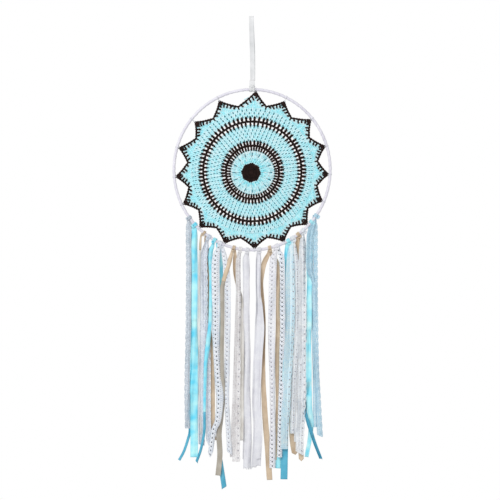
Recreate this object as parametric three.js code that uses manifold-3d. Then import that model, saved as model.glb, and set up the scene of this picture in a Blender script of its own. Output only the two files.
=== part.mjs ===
// A dream catcher: a crocheted mandala laced into a ribbon-wrapped steel ring, hung on a ribbon loop,
// with ribbon and lace streamers folded over the lower half of the ring. Millimetres, +Z up.
// The origin is where the hanger's fold bears on its nail, and the front faces -Y.
import * as THREE from 'three';
import { mergeVertices } from 'three/addons/utils/BufferGeometryUtils.js';
import Module from 'manifold-3d';

const wasm = await Module();
wasm.setup();

// ---- Driving dimensions ----
const CLEARANCE = 0.3; // between touching pieces
// The ring is slightly oval. Its radii are those of the tube's centre.
const RING = { centreZ: -241, radiusX: 122.7, radiusZ: 126, segments: 64 };
const TUBE = { coreRadius: 1.5, wrapRadius: 2.6, seamAngle: 0.16 };
const HANGER = {
  width: 8.8,
  thickness: 0.7,
  eyeRadius: 4,
  flatLength: 14,
  neckZ: -58,
  bottomZ: -101.5,
  neckGap: 0.5,
};
const KNOT = { topZ: -101.8, halfDepth: 2.2, collarRadius: 4.2, width: 8.6 };
const CROCHET = { thickness: 2, points: 16, fullRadius: 118, sag: 4.7, sideways: 0.6 };
// Radii of the crochet's colour changes, from the middle outwards.
const ROUND = {
  rosette: 15.2,
  innerBlue: 33.4,
  innerDark: 50.2,
  middleBlue: 69.9,
  outerDark: 85.6,
  fanValley: 99.5,
};
const SEGMENTS = { innerBlue: 48, middleBlue: 56 }; // straight sides of a turquoise round's edge
const BARS = { innerDark: 20, outerDark: 28 }; // openings round each half of a dark band
const EYELETS = { count: 16, inner: 25.5, outer: 31, openShare: 0.22 }; // in the inner turquoise
const FAN = { edgeWidth: 5.5, tipDepth: 4.6, tieHole: 1, tieHoleDepth: 3.1 };
// How far each point of the star stays short of the ring, clockwise from the top.
const TIP_SLACK = [1.6, 7, 1.6, 0.8, 0.7, 0.7, 0.8, 0.8, 0.8, 1, 1.1, 1.4, 0.8, 2, 7.5, 5.5];
const TIE = { thread: 0.7, width: 0.9 };
const LOOP = { innerRadius: 3, outerRadius: 3.8, width: 6.4 }; // each streamer's fold round the ring
const TAIL = { thickness: 0.6, gap: 1, outwardShift: 3.2, steps: 5 };

const COLOURS = {
  blueYarn: 0x9adbe4,
  darkYarn: 0x1d1412,
  whiteRibbon: 0xe1e0e8,
  whiteThread: 0xeeeef0,
  steel: 0x9a9da0,
  blueSatin: 0x86d3e6,
  tanSatin: 0xc2a98f,
  lace: 0xdfe4ec,
  chiffon: 0xf0eef0,
};

// Streamers from left to right: cloth, angle on the ring from straight down (degrees), width of a tail,
// height of each tail's end (front, back), and how far the tails lean sideways by their end.
const STREAMERS = [
  { name: 'lace_streamer_1', cloth: 'lace', angle: -53.5, width: 7, ends: [-647, -632], lean: -2 },
  { name: 'turquoise_streamer_1', cloth: 'blueSatin', angle: -46.9, width: 7.5, ends: [-692, -698], lean: -1.5 },
  { name: 'tan_streamer_1', cloth: 'tanSatin', angle: -38, width: 7, ends: [-666, -655], lean: -1 },
  { name: 'lace_streamer_2', cloth: 'lace', angle: -33.5, width: 7, ends: [-675, -673], lean: -1 },
  { name: 'turquoise_streamer_2', cloth: 'blueSatin', angle: -28.9, width: 7, ends: [-699, -741], lean: -0.5 },
  { name: 'lace_streamer_3', cloth: 'lace', angle: -24.2, width: 7.5, ends: [-692, -686], lean: 0 },
  { name: 'tan_streamer_2', cloth: 'tanSatin', angle: -13.5, width: 6.5, ends: [-721, -680], lean: -5.5 },
  { name: 'lace_streamer_4', cloth: 'lace', angle: -8.6, width: 7.5, ends: [-699, -690], lean: -3.5 },
  { name: 'chiffon_streamer_1', cloth: 'chiffon', angle: -3.6, width: 8.5, ends: [-708, -700], lean: -1.5 },
  { name: 'chiffon_streamer_2', cloth: 'chiffon', angle: 5.2, width: 9.5, ends: [-705, -690], lean: -1 },
  { name: 'tan_streamer_3', cloth: 'tanSatin', angle: 13, width: 8.5, ends: [-728, -697], lean: -1 },
  { name: 'lace_streamer_5', cloth: 'lace', angle: 18.5, width: 8.5, ends: [-712, -692], lean: -1 },
  { name: 'turquoise_streamer_3', cloth: 'blueSatin', angle: 27, width: 7, ends: [-727, -710], lean: -1 },
  { name: 'lace_streamer_6', cloth: 'lace', angle: 31.6, width: 7, ends: [-678, -681], lean: -0.5 },
  { name: 'tan_streamer_4', cloth: 'tanSatin', angle: 36.2, width: 7, ends: [-699, -689], lean: 0 },
  { name: 'lace_streamer_7', cloth: 'lace', angle: 40.8, width: 7, ends: [-686, -675], lean: 0.5 },
  { name: 'turquoise_streamer_4', cloth: 'blueSatin', angle: 49.4, width: 6, ends: [-691, -694], lean: 2 },
  { name: 'lace_streamer_8', cloth: 'lace', angle: 55, width: 6, ends: [-659, -645], lean: 3 },
];

// ---- Helpers ----
const radians = THREE.MathUtils.degToRad;

function closed(geometry) {
  geometry.deleteAttribute('normal');
  geometry.deleteAttribute('uv');
  return mergeVertices(geometry, 1e-4);
}

function toSolid(geometry) {
  const merged = closed(geometry);
  return new wasm.Manifold(new wasm.Mesh({
    numProp: 3,
    vertProperties: new Float32Array(merged.attributes.position.array),
    triVerts: new Uint32Array(merged.index.array),
  }));
}

function toGeometry(solid) {
  const mesh = solid.getMesh();
  const geometry = new THREE.BufferGeometry();
  geometry.setAttribute('position', new THREE.BufferAttribute(new Float32Array(mesh.vertProperties), 3));
  geometry.setIndex(new THREE.BufferAttribute(new Uint32Array(mesh.triVerts), 1));
  return geometry;
}

function piece(name, geometry, colour, roughness = 0.85, metalness = 0) {
  const material = new THREE.MeshStandardMaterial({ color: COLOURS[colour], roughness, metalness });
  const mesh = new THREE.Mesh(geometry, material);
  mesh.name = name;
  return mesh;
}

// A flat plate with holes. ExtrudeGeometry turns the holes the right way only round an anticlockwise outline.
function plate(outline, holes, depth) {
  const anticlockwise = THREE.ShapeUtils.isClockWise(outline) ? [...outline].reverse() : outline;
  const shape = new THREE.Shape(anticlockwise);
  shape.holes = holes.map((hole) => new THREE.Path(hole));
  return new THREE.ExtrudeGeometry(shape, { depth, bevelEnabled: false, steps: 1 });
}

// An outline in the X-Z plane, given a thickness in Y about `middleY`.
function upright(outline, holes, thickness, middleY = 0) {
  const geometry = plate(outline, holes, thickness);
  return geometry.rotateX(Math.PI / 2).translate(0, middleY + thickness / 2, 0);
}

// An outline in the Y-Z plane, given a width in X.
function sideways(outline, holes, width) {
  const geometry = plate(outline, holes, width);
  geometry.translate(0, 0, -width / 2);
  // The shape's x becomes Y and its y becomes Z.
  geometry.applyMatrix4(new THREE.Matrix4().set(0, 0, 1, 0, 1, 0, 0, 0, 0, 1, 0, 0, 0, 0, 0, 1));
  return geometry;
}

function arc(centreX, centreY, radius, from, to, segments) {
  return Array.from({ length: segments + 1 }, (_, i) => {
    const angle = from + ((to - from) * i) / segments;
    return new THREE.Vector2(centreX + radius * Math.cos(angle), centreY + radius * Math.sin(angle));
  });
}

// ---- The ring ----
// Points on the ring's tube centre, at an angle clockwise from the top.
function onRing(angle) {
  return new THREE.Vector2(RING.radiusX * Math.sin(angle), RING.centreZ + RING.radiusZ * Math.cos(angle));
}

function ringSolid(profile) {
  const geometry = new THREE.LatheGeometry(profile, RING.segments);
  return geometry.scale(RING.radiusX / RING.radiusZ, 1, 1).translate(0, 0, RING.centreZ);
}

function hoopCore() {
  return ringSolid(arc(RING.radiusZ, 0, TUBE.coreRadius, 0, 2 * Math.PI, 6));
}

// The wrapped ribbon is a sleeve over the core, open along its seam at the back.
function hoopWrap() {
  const seam = Math.PI / 2;
  const start = seam + TUBE.seamAngle;
  const end = seam + 2 * Math.PI - TUBE.seamAngle;
  const outer = arc(RING.radiusZ, 0, TUBE.wrapRadius, start, end, 8);
  const inner = arc(RING.radiusZ, 0, TUBE.coreRadius + CLEARANCE, end, start, 6);
  return ringSolid([...outer, ...inner, outer[0].clone()]);
}

// ---- The hanger: a folded ribbon over the nail, and its lark's-head knot on the ring ----
function hangerRibbon() {
  const { eyeRadius, thickness, flatLength, neckZ, bottomZ, neckGap } = HANGER;
  const side = (radius, neck, foot) => [
    ...arc(0, -eyeRadius, radius, 0, Math.PI, 12),
    new THREE.Vector2(-radius, -eyeRadius - flatLength),
    new THREE.Vector2(-neck, neckZ),
    new THREE.Vector2(-neck, foot),
    new THREE.Vector2(neck, foot),
    new THREE.Vector2(neck, neckZ),
    new THREE.Vector2(radius, -eyeRadius - flatLength),
  ];
  const outer = side(eyeRadius + thickness, neckGap + thickness, bottomZ);
  const inner = side(eyeRadius, neckGap, bottomZ + 2);
  return sideways(outer, [inner], HANGER.width);
}

function hangerKnot() {
  const tubeTop = onRing(0).y;
  const hole = arc(0, tubeTop, LOOP.innerRadius, 0, 2 * Math.PI, 14).slice(0, -1);
  const outline = [
    new THREE.Vector2(KNOT.halfDepth, KNOT.topZ),
    new THREE.Vector2(-KNOT.halfDepth, KNOT.topZ),
    ...arc(0, tubeTop, KNOT.collarRadius, Math.PI * 0.82, Math.PI * 2.18, 12),
  ];
  return sideways(outline, [hole], KNOT.width);
}

// ---- The crochet ----
// The flat star is a regular one that sags: its middle hangs low in the ring, and its points drift
// downwards at the sides. `turn` is the angle clockwise from the top.
function crochetPoint(radius, turn) {
  const share = (radius / CROCHET.fullRadius) ** 2;
  const downwards = 4.3 * Math.sin(turn) + 1.8 * Math.sin(2 * turn);
  const twist = 0.9 * (1 - Math.cos(turn));
  const drift = radians(downwards - twist) * share;
  const oval = ovalShare(share, turn);
  const sag = 1 - Math.min(share, 1);
  return new THREE.Vector2(
    radius * oval * Math.sin(turn + drift) + CROCHET.sideways * sag,
    RING.centreZ + radius * oval * Math.cos(turn + drift) - CROCHET.sag * sag,
  );
}

// The star takes the ring's slight oval towards its rim.
function ovalShare(share, turn) {
  return 1 + 0.014 * share * Math.cos(2 * turn);
}

function crochetLoop(count, radiusAt) {
  return Array.from({ length: count }, (_, i) => {
    const turn = (i / count) * 2 * Math.PI;
    return crochetPoint(radiusAt(turn), turn);
  });
}

// One row of windows between bars, `count` of them between two radii.
function windows(count, inner, outer, openShare) {
  const step = (2 * Math.PI) / count;
  const half = (step * openShare) / 2;
  return Array.from({ length: count }, (_, i) => {
    const turn = (i + 0.5) * step;
    const corners = [[inner, -half], [inner, half], [outer, half], [outer, -half]];
    return corners.map(([radius, offset]) => crochetPoint(radius, turn + offset));
  });
}

function crochetRing(outer, inner, holes) {
  return upright(outer, inner ? [inner, ...holes] : holes, CROCHET.thickness);
}

function rosette() {
  const lobed = (turn) => ROUND.rosette - CLEARANCE - 0.9 * (1 - Math.abs(Math.cos(4 * turn)));
  return crochetRing(crochetLoop(48, lobed), null, []);
}

function colourRound(innerRadius, outerRadius, segments, holes) {
  const outer = crochetLoop(segments, () => outerRadius - CLEARANCE);
  const inner = crochetLoop(segments, () => innerRadius + CLEARANCE / 2);
  return crochetRing(outer, inner, holes);
}

// A dark band: bars on both sides of a chain that runs round its middle.
function barBand(innerRadius, outerRadius, count) {
  const rim = 2;
  const chain = 1;
  const middle = (innerRadius + outerRadius) / 2;
  const holes = [
    ...windows(count, innerRadius + rim, middle - chain, 0.6),
    ...windows(count, middle + chain, outerRadius - rim, 0.6),
  ];
  return colourRound(innerRadius, outerRadius, count * 2, holes);
}

// How far a place between two points of the star is from its nearest valley: 0 there, 1 on a point.
function pointShare(turn) {
  const position = (turn / (2 * Math.PI)) * CROCHET.points;
  return 1 - 2 * Math.abs(position - Math.round(position));
}

// The fan under each point grows to just short of the tie's hole.
function fanRadius(turn) {
  const index = Math.round((turn / (2 * Math.PI)) * CROCHET.points) % CROCHET.points;
  const { tip } = starTip((index + CROCHET.points) % CROCHET.points);
  const reach = tip.distanceTo(new THREE.Vector2(0, RING.centreZ)) / ovalShare(1, turn);
  return ROUND.fanValley + (reach - FAN.tipDepth - ROUND.fanValley) * pointShare(turn);
}

function fans() {
  const outer = crochetLoop(CROCHET.points * 8, fanRadius);
  const inner = crochetLoop(56, () => ROUND.outerDark + CLEARANCE / 2);
  return crochetRing(outer, inner, []);
}

// The middle of each point, where the dark edging reaches for the ring.
function starTip(index) {
  const turn = (index / CROCHET.points) * 2 * Math.PI;
  const away = crochetPoint(CROCHET.fullRadius, turn);
  const angle = Math.atan2(away.x / RING.radiusX, (away.y - RING.centreZ) / RING.radiusZ);
  const clearOfKnot = index === 0 ? radians(2.9) : 0;
  const onTube = onRing(angle + clearOfKnot);
  const outward = onTube.clone().sub(new THREE.Vector2(0, RING.centreZ)).normalize();
  const tip = onTube.clone().addScaledVector(outward, -TUBE.wrapRadius - TIP_SLACK[index]);
  return { onTube, outward, tip };
}

function edging() {
  const perPoint = 8;
  const outer = [];
  const tieHoles = [];
  for (let index = 0; index < CROCHET.points; index += 1) {
    const { outward, tip } = starTip(index);
    const along = new THREE.Vector2(outward.y, -outward.x); // clockwise round the ring
    for (let step = 1 - perPoint / 2; step <= perPoint / 2; step += 1) {
      if (Math.abs(step) < 2) continue;
      const turn = ((index + step / perPoint) / CROCHET.points) * 2 * Math.PI;
      outer.push(crochetPoint(fanRadius(turn) + FAN.edgeWidth - pointShare(turn), turn));
      if (step === -2) {
        outer.push(tip.clone().addScaledVector(along, -1.1));
        outer.push(tip.clone().addScaledVector(along, 1.1));
      }
    }
    const middle = tip.clone().addScaledVector(outward, -FAN.tieHoleDepth + FAN.tieHole);
    tieHoles.push([[-1, -1], [1, -1], [1, 1], [-1, 1]].map(([side, depth]) => middle.clone()
      .addScaledVector(along, side * FAN.tieHole * 0.8)
      .addScaledVector(outward, depth * FAN.tieHole)));
  }
  const inner = crochetLoop(CROCHET.points * 8, (turn) => fanRadius(turn) + CLEARANCE);
  return crochetRing(outer, inner, tieHoles);
}

// A thread tied round the ring's tube and through the edging at one point of the star.
function lacingTie(index) {
  const { onTube, outward, tip } = starTip(index);
  const roundTube = TUBE.wrapRadius + CLEARANCE;
  const reach = onTube.distanceTo(tip) + FAN.tieHoleDepth - FAN.tieHole;
  const oval = (radius, end) => [
    ...arc(0, 0, radius, 0, Math.PI, 5),
    ...arc(0, -end, radius * 0.55, Math.PI, 2 * Math.PI, 4),
  ];
  // The oval lies in the plane of the outward direction and Y; here its x is Y and its y is outward.
  const outer = oval(roundTube + TIE.thread, reach + TIE.thread / 2 - 0.55 * (roundTube + TIE.thread));
  const inner = oval(roundTube, reach - TIE.thread / 2 - 0.55 * roundTube);
  const geometry = sideways(outer, [inner], TIE.width);
  const fromUp = Math.atan2(outward.x, outward.y);
  return geometry.rotateY(fromUp).translate(onTube.x, 0, onTube.y);
}

// ---- The streamers ----
function tail(spec, topX, topZ, side) {
  const end = spec.ends[side];
  const half = spec.width / 2;
  const slant = side === 0 ? 4 : -4;
  const left = [];
  const right = [];
  for (let step = 0; step <= TAIL.steps; step += 1) {
    const share = step / TAIL.steps;
    const x = topX + spec.lean * share * share;
    const z = topZ + (end - topZ) * share;
    left.push(new THREE.Vector2(x - half, z));
    right.push(new THREE.Vector2(x + half, z));
  }
  left[TAIL.steps].y += Math.max(slant, 0);
  right[TAIL.steps].y += Math.max(-slant, 0);
  const middleY = (side === 0 ? -1 : 1) * ((TAIL.gap + TAIL.thickness) / 2);
  return upright([...left, ...right.reverse()], [], TAIL.thickness, middleY);
}

function streamer(spec) {
  const angle = radians(spec.angle);
  const place = onRing(Math.PI - angle);
  const circle = arc(0, 0, LOOP.outerRadius, 0, 2 * Math.PI, 10).slice(0, -1);
  const hole = arc(0, 0, LOOP.innerRadius, 0, 2 * Math.PI, 10).slice(0, -1);
  const slope = Math.atan2(RING.radiusZ * Math.sin(angle), RING.radiusX * Math.cos(angle));
  const fold = sideways(circle, [hole], LOOP.width).rotateY(-slope).translate(place.x, 0, place.y);
  const topX = place.x + TAIL.outwardShift * Math.sin(angle);
  const topZ = place.y - LOOP.innerRadius - 0.2;
  const front = tail(spec, topX, topZ, 0);
  const back = tail(spec, topX, topZ, 1);
  // A narrow bridge under the fold holds both tails to it.
  const bridge = new THREE.BoxGeometry(3, TAIL.gap + 2 * TAIL.thickness, 3).translate(place.x, 0, topZ - 1.2);
  const solid = toSolid(fold).add(toSolid(bridge)).add(toSolid(front)).add(toSolid(back));
  const keepClear = toSolid(tubeClearance(angle, place, slope));
  return toGeometry(solid.subtract(keepClear));
}

// The space that a streamer leaves free round the ring's tube.
function tubeClearance(angle, place, slope) {
  const circle = arc(0, 0, LOOP.innerRadius, 0, 2 * Math.PI, 10).slice(0, -1);
  return sideways(circle, [], LOOP.width * 3).rotateY(-slope).translate(place.x, 0, place.y);
}

// ---- Assembly ----
const group = new THREE.Group();

group.add(piece('hanger_ribbon', hangerRibbon(), 'whiteRibbon', 0.6));
group.add(piece('hanger_knot', hangerKnot(), 'whiteRibbon', 0.6));
group.add(piece('hoop_core', hoopCore(), 'steel', 0.35, 1));
group.add(piece('hoop_wrap', hoopWrap(), 'whiteRibbon', 0.6));

const eyelets = windows(EYELETS.count, EYELETS.inner, EYELETS.outer, EYELETS.openShare);
const innerTurquoise = colourRound(ROUND.rosette, ROUND.innerBlue, SEGMENTS.innerBlue, eyelets);
const middleTurquoise = colourRound(ROUND.innerDark, ROUND.middleBlue, SEGMENTS.middleBlue, []);
const innerDark = barBand(ROUND.innerBlue, ROUND.innerDark, BARS.innerDark);
const outerDark = barBand(ROUND.middleBlue, ROUND.outerDark, BARS.outerDark);
group.add(piece('crochet_centre_rosette', rosette(), 'darkYarn'));
group.add(piece('crochet_inner_turquoise', innerTurquoise, 'blueYarn'));
group.add(piece('crochet_inner_dark_band', innerDark, 'darkYarn'));
group.add(piece('crochet_middle_turquoise', middleTurquoise, 'blueYarn'));
group.add(piece('crochet_outer_dark_band', outerDark, 'darkYarn'));
group.add(piece('crochet_turquoise_fans', fans(), 'blueYarn'));
group.add(piece('crochet_dark_edging', edging(), 'darkYarn'));

for (let index = 0; index < CROCHET.points; index += 1) {
  const number = String(index + 1).padStart(2, '0');
  group.add(piece(`lacing_tie_${number}`, lacingTie(index), 'whiteThread', 0.7));
}

for (const spec of STREAMERS) {
  group.add(piece(spec.name, streamer(spec), spec.cloth, spec.cloth === 'blueSatin' ? 0.4 : 0.7));
}

export default group;
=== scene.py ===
"""The looks of the dream catcher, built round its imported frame. Metres, +Z up, the front faces -Y."""
import math
import random

import bpy
import numpy as np
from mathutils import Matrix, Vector
from mathutils.geometry import delaunay_2d_cdt


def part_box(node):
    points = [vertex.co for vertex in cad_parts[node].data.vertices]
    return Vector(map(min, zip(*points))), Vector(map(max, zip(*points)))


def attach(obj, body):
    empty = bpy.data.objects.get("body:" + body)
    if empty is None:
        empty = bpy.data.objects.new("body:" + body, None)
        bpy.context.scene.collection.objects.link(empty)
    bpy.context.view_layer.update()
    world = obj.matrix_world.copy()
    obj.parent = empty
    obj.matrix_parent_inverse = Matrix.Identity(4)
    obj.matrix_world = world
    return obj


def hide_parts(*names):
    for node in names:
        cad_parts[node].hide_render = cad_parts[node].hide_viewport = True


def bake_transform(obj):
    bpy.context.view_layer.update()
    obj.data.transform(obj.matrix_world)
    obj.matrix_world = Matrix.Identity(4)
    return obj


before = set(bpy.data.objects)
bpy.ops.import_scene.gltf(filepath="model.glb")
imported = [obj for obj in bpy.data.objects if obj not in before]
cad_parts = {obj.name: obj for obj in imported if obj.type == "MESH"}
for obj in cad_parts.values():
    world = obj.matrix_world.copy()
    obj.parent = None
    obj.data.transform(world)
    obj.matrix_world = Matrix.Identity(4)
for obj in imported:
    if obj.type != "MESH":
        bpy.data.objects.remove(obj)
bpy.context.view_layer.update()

MM = 0.001
TAU = 2 * math.pi
UP = np.array([0.0, 0.0, 1.0])
FRONT = np.array([0.0, -1.0, 0.0])
BACK = -FRONT
dice = random.Random(11)

# ---- Sizes, in millimetres ----
WRAP_LOW, WRAP_HIGH = (np.array(corner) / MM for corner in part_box("hoop_wrap"))
TUBE_RADIUS = 2.6
RING_X = (WRAP_HIGH[0] - WRAP_LOW[0]) / 2 - TUBE_RADIUS
RING_Z = (WRAP_HIGH[2] - WRAP_LOW[2]) / 2 - TUBE_RADIUS
RING_CENTRE = (WRAP_HIGH[2] + WRAP_LOW[2]) / 2
HOOP_WRAPS = 92  # turns of ribbon round the ring

CROCHET_REACH = 118.0  # the star's flat radius
SAG, SIDEWAYS = 4.7, 0.6  # how far its middle hangs below the ring's, and to the right of it
ROSETTE_PULL = 2.3  # the rosette is pulled a little to the left of the rounds about it
POINTS = 16
# Outer radii of the inner turquoise, of the rounds after it, and of those that carry the fans.
INNER_BLUE, INNER_DARK, MIDDLE_BLUE, OUTER_DARK, FAN_BASE = 33.4, 50.2, 69.9, 85.6, 97.0
VALLEY = 103.7  # the valleys between the points, on average
VALLEY_PULL, PULLED_TOWARDS = 2.6, math.radians(158)  # they reach further out low on the right
OVERLAP = 2.3  # how far a turquoise round carries on under the dark stitches beside it
YARN = 0.5  # radius of one strand
TUCK = 0.6  # how far the fans' stitches reach into the round below
LEAN = 3.0  # the dark stitches at a point lean towards a place this far outside the fans' foot
EDGE_STITCHES = 14  # in the edging's chain, for each point of the star
TIE_THREAD = 0.3  # radius of a lacing tie

# Stitches on the inner and the outer side of each dark band's chain, and how thick they are.
INNER_BAND, OUTER_BAND = (56, 57, 1.75), (76, 82, 1.8)

CLOTH, LACE = 0.3, 0.34  # thickness of plain ribbon and of lace
DOT_SIDES = 12  # corners of a stitched eyelet
FRAY_THREADS = 41  # ends of thread across a frayed cut

VIEW_WIDTH, VIEW_CENTRE = 785.0, (-3.3, -367.0)  # what the camera frames at the star's depth


# ---- Meshes ----
class Shell:
    """The points, faces and thread coordinates of one piece, gathered a patch at a time."""

    def __init__(self):
        self.points, self.faces, self.coords, self.finishes = [], [], [], []
        self.count = 0
        self.finish = 0  # which of the piece's materials the next patches take

    def add(self, points, faces, coords):
        self.points.append(np.asarray(points, float).reshape(-1, 3))
        for face, coord in zip(faces, coords):
            self.faces.append(np.asarray(face, int) + self.count)
            self.coords.append(np.asarray(coord, float))
            self.finishes.append(np.full(len(face), self.finish))
        self.count += len(self.points[-1])

    def build(self, name, *materials):
        mesh = bpy.data.meshes.new(name)
        points = np.concatenate(self.points) * MM
        loops = np.concatenate([face.ravel() for face in self.faces])
        sizes = np.concatenate([np.full(len(face), face.shape[1]) for face in self.faces])
        starts = np.concatenate([[0], np.cumsum(sizes)[:-1]])
        mesh.vertices.add(len(points))
        mesh.vertices.foreach_set("co", points.ravel())
        mesh.loops.add(len(loops))
        mesh.loops.foreach_set("vertex_index", loops)
        mesh.polygons.add(len(sizes))
        mesh.polygons.foreach_set("loop_start", starts)
        mesh.update(calc_edges=True)
        uvs = mesh.uv_layers.new(name="Thread")
        uvs.data.foreach_set("uv", np.concatenate([c.reshape(-1, 2) for c in self.coords]).ravel())
        mesh.polygons.foreach_set("use_smooth", np.full(len(sizes), True))
        mesh.polygons.foreach_set("material_index", np.concatenate(self.finishes))
        for material in materials:
            mesh.materials.append(material)
        mesh.validate()
        piece = bpy.data.objects.new(name, mesh)
        bpy.context.scene.collection.objects.link(piece)
        return piece


def ease(value):
    value = np.clip(value, 0, 1)
    return value * value * (3 - 2 * value)


def unit(vectors):
    return vectors / np.maximum(np.linalg.norm(vectors, axis=-1, keepdims=True), 1e-12)


def directions(path, closed=False):
    ahead = np.roll(path, -1, 0) - np.roll(path, 1, 0)
    if not closed:
        ahead[0] = path[1] - path[0]
        ahead[-1] = path[-1] - path[-2]
    return unit(ahead)


def lengths(path):
    return np.concatenate([[0], np.cumsum(np.linalg.norm(np.diff(path, axis=0), axis=1))])


def carried_side(ahead, closed):
    """A direction across the path that turns as little as it can."""
    start = BACK if abs(ahead[0][1]) < 0.9 else UP
    side = np.empty_like(ahead)
    carried = start
    for i, direction in enumerate(ahead):
        carried = carried - direction * carried.dot(direction)
        carried = carried / np.linalg.norm(carried)
        side[i] = carried
    if not closed:
        return side
    carried = carried - ahead[0] * carried.dot(ahead[0])
    other = np.cross(ahead[0], side[0])
    slip = math.atan2(carried.dot(other), carried.dot(side[0]))
    angle = (-slip * np.arange(len(ahead)) / len(ahead))[:, None]
    return side * np.cos(angle) + np.cross(ahead, side) * np.sin(angle)


def rings(path, side, other, radii, sides):
    """Points in a ring round each point of a path, in the plane of its two side directions."""
    around = np.arange(sides) / sides * TAU
    spokes = side[:, None] * np.cos(around)[None, :, None] + other[:, None] * np.sin(around)[None, :, None]
    return path[:, None] + spokes * radii


def ring_faces(count, sides, closed):
    """The faces between rings of points: which ring each is on, where round it, and its four corners."""
    ring, place = (index.ravel() for index in np.indices((count if closed else count - 1, sides)))
    here, ahead = ring * sides, (ring + 1) % count * sides
    following = (place + 1) % sides
    return ring, place, np.stack([here + place, here + following, ahead + following, ahead + place], 1)


def tube(shell, path, radius, sides=6, closed=False):
    path = np.asarray(path, float)
    count = len(path)
    ahead = directions(path, closed)
    side = carried_side(ahead, closed)
    radii = np.broadcast_to(np.asarray(radius, float), (count,))[:, None, None]
    points = rings(path, side, np.cross(ahead, side), radii, sides).reshape(-1, 3)
    i, j, quads = ring_faces(count, sides, closed)
    run = lengths(np.vstack([path, path[:1]]))
    share = np.stack([j, j + 1, j + 1, j], 1) / sides
    along = np.stack([run[i], run[i], run[i + 1], run[i + 1]], 1)
    faces, coords = [quads], [np.stack([along, share], 2)]
    if not closed:
        ends = np.stack([path[0] - ahead[0] * radii[0, 0] * 0.5, path[-1] + ahead[-1] * radii[-1, 0] * 0.5])
        base = len(points)
        points = np.vstack([points, ends])
        ring = np.arange(sides)
        first = np.stack([np.full(sides, base), (ring + 1) % sides, ring], 1)
        shift = (count - 1) * sides
        last = np.stack([np.full(sides, base + 1), shift + ring, shift + (ring + 1) % sides], 1)
        faces += [first, last]
        coords += [np.zeros((sides, 3, 2)), np.zeros((sides, 3, 2)) + [run[count - 1], 0]]
    shell.add(points, faces, coords)


def strip(shell, path, across, width, thickness, cup=0.0, pleats=None):
    """A closed thin ribbon along a path. across says which way its width lies at each point."""
    columns = 8
    count = len(path)
    ahead = directions(path)
    across = unit(across - ahead * np.sum(across * ahead, 1, keepdims=True))
    normal = np.cross(across, ahead)
    share = np.linspace(-0.5, 0.5, columns + 1)
    middle = path[:, None] + across[:, None] * (width * share)[None, :, None]
    rise = np.broadcast_to(cup, (count,))[:, None] * (1 - 4 * share[None] ** 2)
    run = lengths(path)
    if pleats is not None:
        rise = rise + pleats(run[:, None], share[None])
    middle = middle + normal[:, None] * rise[:, :, None]
    lift = normal[:, None] * thickness / 2
    loop = np.concatenate([middle - lift, (middle + lift)[:, ::-1]], 1)
    sides = loop.shape[1]
    i, j, quads = ring_faces(count, sides, closed=False)
    place = np.concatenate([share, share[::-1]])
    following = (j + 1) % sides
    u = np.stack([place[j], place[j], place[following], place[following]], 1) * 10
    v = np.stack([run[i], run[i + 1], run[i + 1], run[i]], 1)
    k = np.arange(columns)
    first = np.stack([k, k + 1, sides - 2 - k, sides - 1 - k], 1)
    last = (first + (count - 1) * sides)[:, ::-1]
    flat_end = np.zeros((columns, 4, 2))
    coords = [np.stack([u, v], 2), flat_end, flat_end + [0, run[-1]]]
    shell.add(loop.reshape(-1, 3), [quads[:, [0, 3, 2, 1]], first, last], coords)


def smooth_path(points, step):
    """A Catmull-Rom curve through rows of numbers, sampled about every step of its first three."""
    points = np.asarray(points, float)
    padded = np.vstack([2 * points[0] - points[1], points, 2 * points[-1] - points[-2]])
    out = []
    for a, b, c, d in zip(padded, padded[1:], padded[2:], padded[3:]):
        pieces = max(2, int(np.linalg.norm((c - b)[:3]) / step))
        t = (np.arange(pieces) / pieces)[:, None]
        out.append(0.5 * (2 * b + (c - a) * t + (2 * a - 5 * b + 4 * c - d) * t ** 2
                          + (3 * b - a - 3 * c + d) * t ** 3))
    return np.vstack(out + [points[-1:]])


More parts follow.
